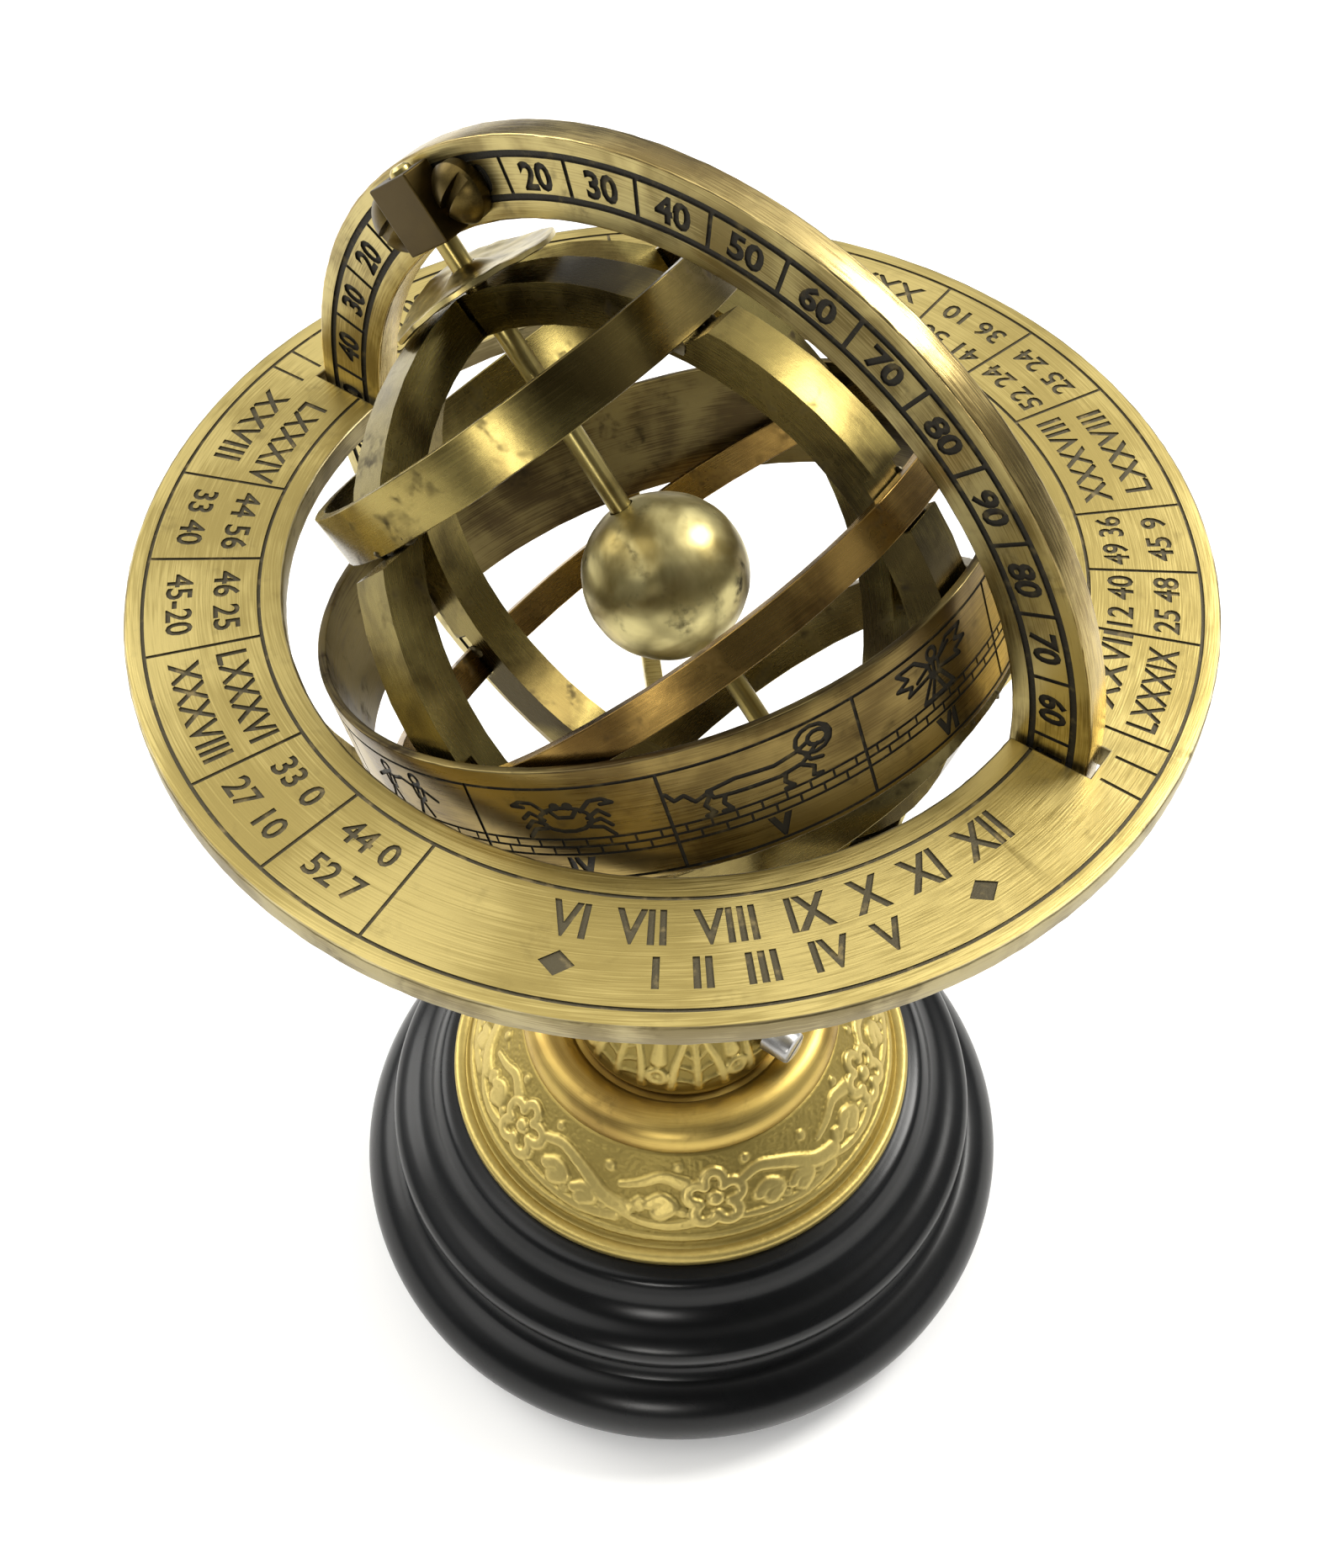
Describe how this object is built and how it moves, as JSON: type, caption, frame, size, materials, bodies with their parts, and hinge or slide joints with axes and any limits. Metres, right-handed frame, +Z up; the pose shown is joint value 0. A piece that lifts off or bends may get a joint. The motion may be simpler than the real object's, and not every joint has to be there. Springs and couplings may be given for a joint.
{
  "type": "armillary sphere",
  "caption": "Desk armillary sphere: nested brass rings and a ball turning on a tilted polar axis inside a meridian and a flat horizon ring, on a turned black wooden base.",
  "frame": {"origin": "centre of the felt pad's underside, where the sphere stands on a table", "axes": "+Z up; the meridian ring stands in the XZ plane with the north pole leaning to -X, and its engraved face looks to -Y"},
  "size_m": [0.1, 0.1, 0.1627],
  "materials": {
    "aged_brass": "brushed and aged, with dark patina in the engraving",
    "dark_brass": "dark patina, dull",
    "steel": "turned, slightly worn",
    "black_wood": "black satin lacquer",
    "felt": "matt felt"
  },
  "bodies": {
    "base": {"felt_pad": "felt", "wood_base": "black_wood", "base_bolt": "steel", "base_washer": "steel", "pedestal_flange": "aged_brass", "pedestal_bead": "aged_brass", "pedestal_bell": "aged_brass"},
    "lock_screw": {"stem_lock_screw": "steel"},
    "head": {"stem_fork": "aged_brass", "cradle_arm_1": "aged_brass", "cradle_arm_2": "aged_brass", "cradle_arm_3": "aged_brass", "cradle_arm_4": "aged_brass", "cradle_screw_1": "aged_brass", "cradle_screw_2": "aged_brass", "cradle_screw_3": "aged_brass", "cradle_screw_4": "aged_brass", "horizon_ring": "aged_brass"},
    "clamp_screw": {"meridian_clamp_screw": "aged_brass"},
    "meridian": {"meridian_ring": "aged_brass", "north_pivot_block": "dark_brass", "south_pivot_block": "dark_brass", "north_pivot_screw_a": "dark_brass", "north_pivot_screw_b": "dark_brass", "south_pivot_screw_a": "dark_brass", "south_pivot_screw_b": "dark_brass"},
    "sphere": {"polar_axis_rod": "aged_brass", "earth_ball": "aged_brass", "north_hour_disc": "aged_brass", "south_hour_disc": "aged_brass", "solstitial_colure": "aged_brass", "equinoctial_colure": "aged_brass", "equator_ring": "aged_brass", "tropic_of_cancer": "aged_brass", "tropic_of_capricorn": "aged_brass", "zodiac_band": "dark_brass"}
  },
  "joints": [
    {"name": "stem_swivel", "type": "hinge", "parent": "base", "child": "head", "pos_m": [0, 0, 0.053], "axis": [0, 0, 1], "range_deg": [-180, 180]},
    {"name": "meridian_tilt", "type": "hinge", "parent": "head", "child": "meridian", "pos_m": [0, 0.00105, 0.1196], "axis": [0, 1, 0], "range_deg": [-34, 14]},
    {"name": "sphere_spin", "type": "hinge", "parent": "meridian", "child": "sphere", "pos_m": [0, -0.0016, 0.1196], "axis": [-0.6374, 0, 0.7705], "continuous": true},
    {"name": "clamp_screw_turn", "type": "hinge", "parent": "head", "child": "clamp_screw", "pos_m": [0, -0.0082, 0.08], "axis": [0, -1, 0], "range_deg": [-180, 180]},
    {"name": "lock_screw_turn", "type": "hinge", "parent": "base", "child": "lock_screw", "pos_m": [0.0131, 0, 0.046], "axis": [1, 0, 0], "range_deg": [-180, 180]}
  ]
}
